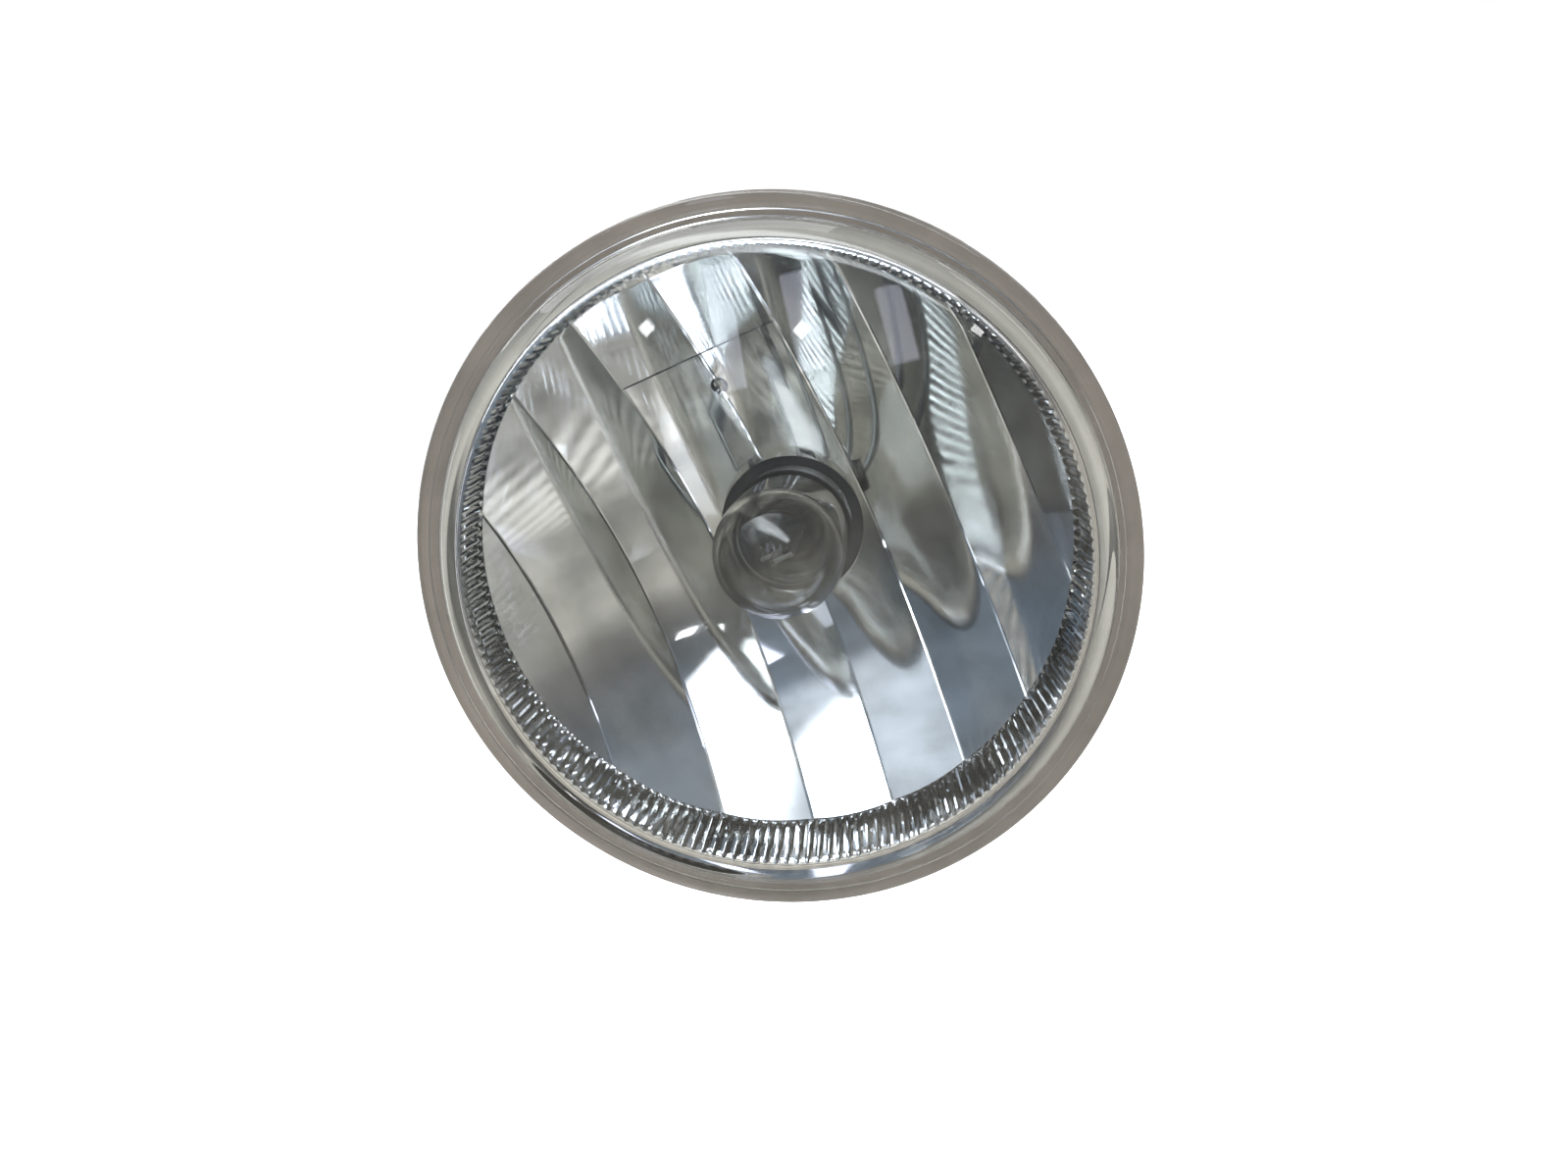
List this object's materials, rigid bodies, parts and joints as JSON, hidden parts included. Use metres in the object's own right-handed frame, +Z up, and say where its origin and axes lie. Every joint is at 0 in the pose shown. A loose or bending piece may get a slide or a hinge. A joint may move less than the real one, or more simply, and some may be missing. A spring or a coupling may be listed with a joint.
{
  "type": "fog light",
  "caption": "Round clear-lens fog light with an upright-strip mirror, a bayonet bulb and a rear bracket with studs and a screw for aiming.",
  "frame": {"origin": "On the lamp's optical axis at rest, level with the three bosses' rear mounting faces.", "axes": "+Z up. The lamp faces -Y, so +X is to the right seen from the front. +Y points back into the vehicle."},
  "size_m": [0.1, 0.065, 0.1],
  "materials": {
    "bracket_paint": "satin",
    "zinc_steel": "satin",
    "nylon": "satin",
    "housing_plastic": "matte",
    "lens_clear": "polished",
    "sealant": "matte",
    "mirror_coat": "polished",
    "ring_plastic": "satin",
    "brass": "satin",
    "rubber_black": "matte",
    "membrane": "matte",
    "spring_steel": "satin",
    "base_plastic": "satin",
    "silicone": "matte",
    "collar_steel": "gloss",
    "bulb_glass": "polished",
    "wire_steel": "satin",
    "tungsten": "satin"
  },
  "bodies": {
    "bracket_body": {"bracket": "bracket_paint", "mount_studs": "zinc_steel", "pivot_bush_left": "nylon", "pivot_bush_right": "nylon", "adjuster_bush": "nylon"},
    "lamp_body": {"housing": "housing_plastic", "lens": "lens_clear", "lens_seal": "sealant", "reflector": "mirror_coat", "socket_ring": "ring_plastic", "socket_ring_screws": "zinc_steel", "pivot_insert_left": "brass", "pivot_insert_right": "brass", "pivot_pin_left": "zinc_steel", "pivot_pin_right": "zinc_steel", "vent_cap": "rubber_black", "vent_membrane": "membrane"},
    "adjuster_body": {"adjuster_screw": "zinc_steel", "adjuster_washer": "zinc_steel", "adjuster_clip": "spring_steel"},
    "nut_body": {"adjuster_nut": "nylon"},
    "bulb_body": {"bulb_base": "base_plastic", "bulb_seal_ring": "silicone", "bulb_collar": "collar_steel", "bulb_glass": "bulb_glass", "bulb_stem": "bulb_glass", "bulb_lead_wires": "wire_steel", "bulb_filament": "tungsten", "bulb_contacts": "brass"}
  },
  "joints": [
    {"name": "aim_tilt", "type": "hinge", "parent": "bracket_body", "child": "lamp_body", "pos_m": [0, -0.019, 0], "axis": [1, 0, 0], "range_deg": [-3, 3]},
    {"name": "adjuster_turn", "type": "hinge", "parent": "bracket_body", "child": "adjuster_body", "pos_m": [0, 0, -0.0435], "axis": [0, 1, 0], "range_deg": [-415, 415]},
    {"name": "nut_travel", "type": "slide", "parent": "bracket_body", "child": "nut_body", "axis": [0, 1, 0], "range_m": [-0.0024, 0.0024]},
    {"name": "bulb_twist", "type": "hinge", "parent": "lamp_body", "child": "bulb_body", "pos_m": [0, 0, 0], "axis": [0, 1, 0], "range_deg": [0, 45]}
  ],
  "couplings": [
    {"joint": "adjuster_turn", "follows": "aim_tilt", "ratio": -136.66},
    {"joint": "nut_travel", "follows": "aim_tilt", "m_per_rad": 0.0435}
  ]
}
